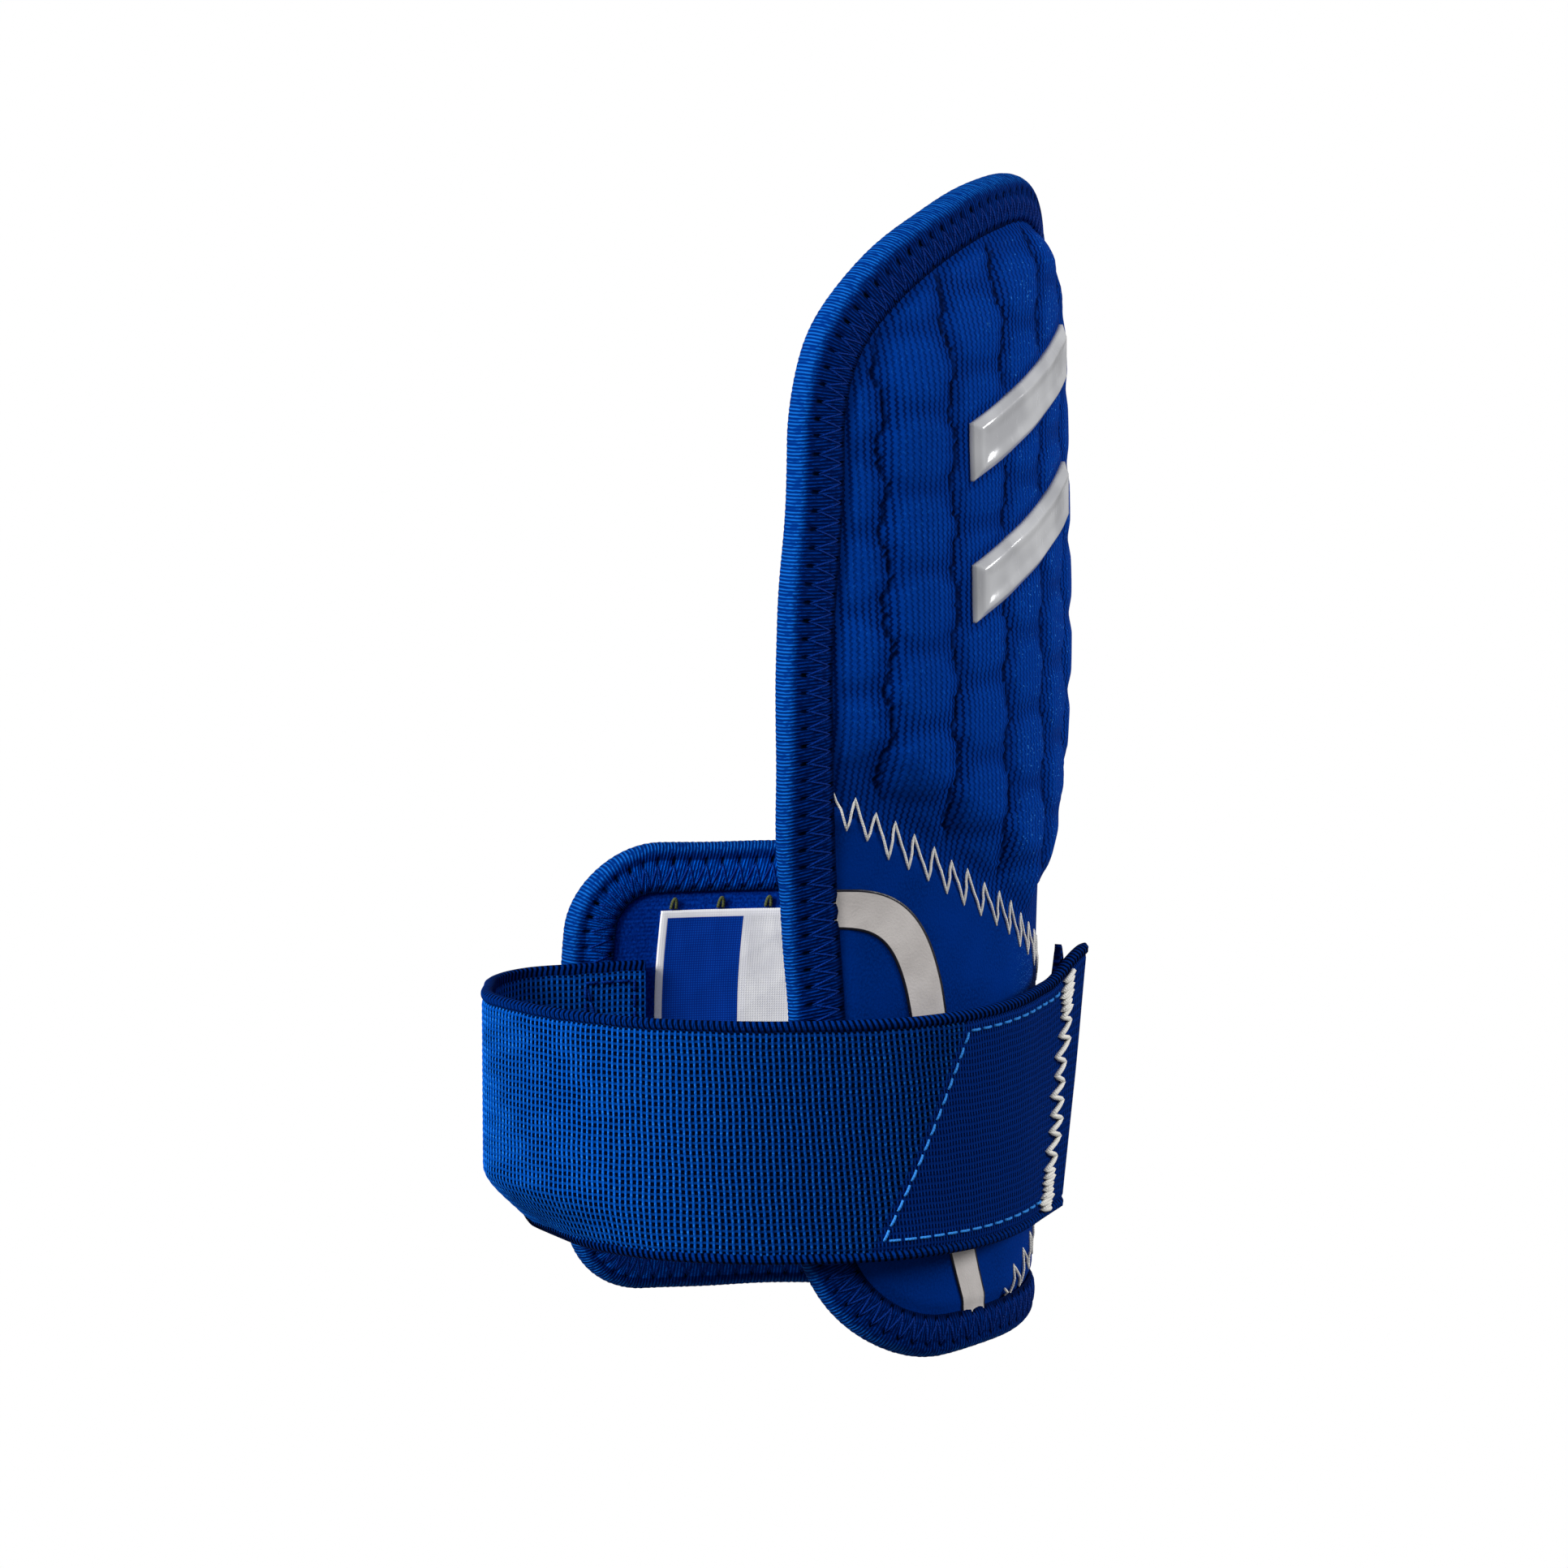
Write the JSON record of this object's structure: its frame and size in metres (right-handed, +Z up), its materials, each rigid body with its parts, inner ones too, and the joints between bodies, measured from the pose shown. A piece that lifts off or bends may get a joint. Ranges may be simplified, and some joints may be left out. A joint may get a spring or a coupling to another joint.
{
  "type": "hand and wrist guard",
  "caption": "Padded strap-on guard for the back of the hand and wrist, with a wrap-round cuff wing and an elastic strap that closes on a hook tab.",
  "frame": {"origin": "middle of the bottom rim's lowest face, on the shield's centre line", "axes": "+Z up the forearm towards the fingers; the shield's outer face looks along -Y; the wing wraps round by +X"},
  "size_m": [0.0919, 0.088, 0.1849],
  "materials": {
    "knit_fabric": "ribbed polyester knit, matte",
    "loop_fabric": "brushed loop fabric, low sheen",
    "lining_fabric": "brushed lining, matte",
    "binding_tape": "ribbed stretch tape, satin",
    "elastic_webbing": "woven elastic, corded",
    "foam": "closed-cell foam, matte",
    "shell_plastic": "satin",
    "bar_film": "moulded film, glossy",
    "stripe_film": "printed film, satin",
    "hook_tape": "hook tape, matte",
    "white_thread": "polyester thread",
    "blue_thread": "polyester thread",
    "label_satin": "woven satin, plain"
  },
  "bodies": {
    "cuff": {"cuff_lining": "lining_fabric", "cuff_foam": "foam", "cuff_cover": "knit_fabric", "cuff_binding": "binding_tape", "cuff_binding_thread": "blue_thread", "fillet_binding": "binding_tape", "landing_patch": "loop_fabric", "patch_stripe": "stripe_film", "seam_thread": "white_thread"},
    "hand": {"hand_lining": "lining_fabric", "hand_foam": "foam", "shell_insert": "shell_plastic", "honeycomb_pad": "foam", "hand_cover": "knit_fabric", "hand_binding": "binding_tape", "hand_binding_thread": "blue_thread", "upper_bar": "bar_film", "lower_bar": "bar_film"},
    "wing": {"wing_lining": "lining_fabric", "wing_foam": "foam", "wing_cover": "knit_fabric", "wing_binding": "binding_tape", "wing_binding_thread": "blue_thread", "label": "label_satin", "strap_anchor": "elastic_webbing", "anchor_stitching": "blue_thread"},
    "bend": {"strap_bend": "elastic_webbing"},
    "front": {"strap_front": "elastic_webbing"},
    "tab": {"strap_tab": "elastic_webbing", "hook_patch": "hook_tape", "tab_thread": "white_thread", "hook_stitching": "blue_thread"}
  },
  "joints": [
    {"name": "hand_flex", "type": "hinge", "parent": "cuff", "child": "hand", "pos_m": [0.008, 0.007, 0.064], "axis": [1, 0, 0], "range_deg": [-8, 15], "stiffness_Nm_per_rad": 0.3},
    {"name": "strap_swing", "type": "hinge", "parent": "wing", "child": "bend", "pos_m": [-0.0064, 0.0747, 0.037], "axis": [0, 0, -1], "range_deg": [0, 40], "stiffness_Nm_per_rad": 0.02},
    {"name": "strap_unroll", "type": "hinge", "parent": "bend", "child": "front", "pos_m": [-0.0365, 0.0723, 0.037], "axis": [0, 0, -1], "range_deg": [0, 20]},
    {"name": "wing_open", "type": "hinge", "parent": "cuff", "child": "wing", "pos_m": [0.0269, 0.0433, 0.037], "axis": [0, 0, -1], "range_deg": [0, 24]},
    {"name": "tab_peel", "type": "hinge", "parent": "front", "child": "tab", "pos_m": [-0.0395, 0.0164, 0.037], "axis": [0, 0, -1], "range_deg": [0, 75], "stiffness_Nm_per_rad": 0.01}
  ],
  "couplings": [
    {"joint": "strap_unroll", "follows": "strap_swing", "ratio": 0.5},
    {"joint": "wing_open", "follows": "strap_swing", "ratio": 0.6}
  ]
}
